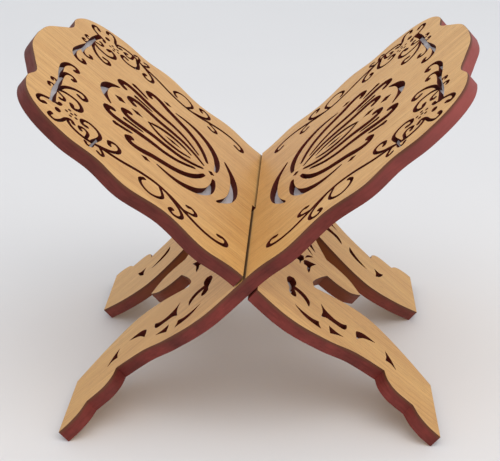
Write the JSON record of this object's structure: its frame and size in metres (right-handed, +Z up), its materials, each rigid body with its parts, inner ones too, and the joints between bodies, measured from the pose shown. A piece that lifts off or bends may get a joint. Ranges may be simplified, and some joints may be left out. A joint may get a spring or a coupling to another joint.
{
  "type": "quran stand",
  "caption": "Wooden X-shaped book stand: crossed fretwork boards with scalloped leaves that hold an open book above splayed legs, and slide apart to store flat.",
  "frame": {"origin": "on the surface that the stand rests on, below the middle of the crossing", "axes": "+X across the open leaves, from leaf to leaf; +Y from the reader away over the crossing; +Z up"},
  "size_m": [0.25, 0.206, 0.2033],
  "materials": {
    "face_veneer": "clear satin lacquer on pale tan veneer, fine straight grain along each board",
    "fretwork_sheet": "fibreboard, outer edges painted matte maroon, cut walls darkened by the cutting",
    "backing_sheet": "fibreboard, outer edges painted matte maroon, warm grey sealed inner face",
    "back_veneer": "clear satin lacquer on pale tan veneer, fine straight grain along each board"
  },
  "bodies": {
    "board_a": {"board_a_face_veneer": "face_veneer", "board_a_fretwork_sheet": "fretwork_sheet", "board_a_backing_sheet": "backing_sheet", "board_a_back_veneer": "back_veneer"},
    "board_b": {"board_b_face_veneer": "face_veneer", "board_b_fretwork_sheet": "fretwork_sheet", "board_b_backing_sheet": "backing_sheet", "board_b_back_veneer": "back_veneer"}
  },
  "joints": [
    {"name": "board_b_slide", "type": "slide", "parent": "board_a", "child": "board_b", "axis": [0, 1, 0], "range_m": [0, 0.102]}
  ]
}
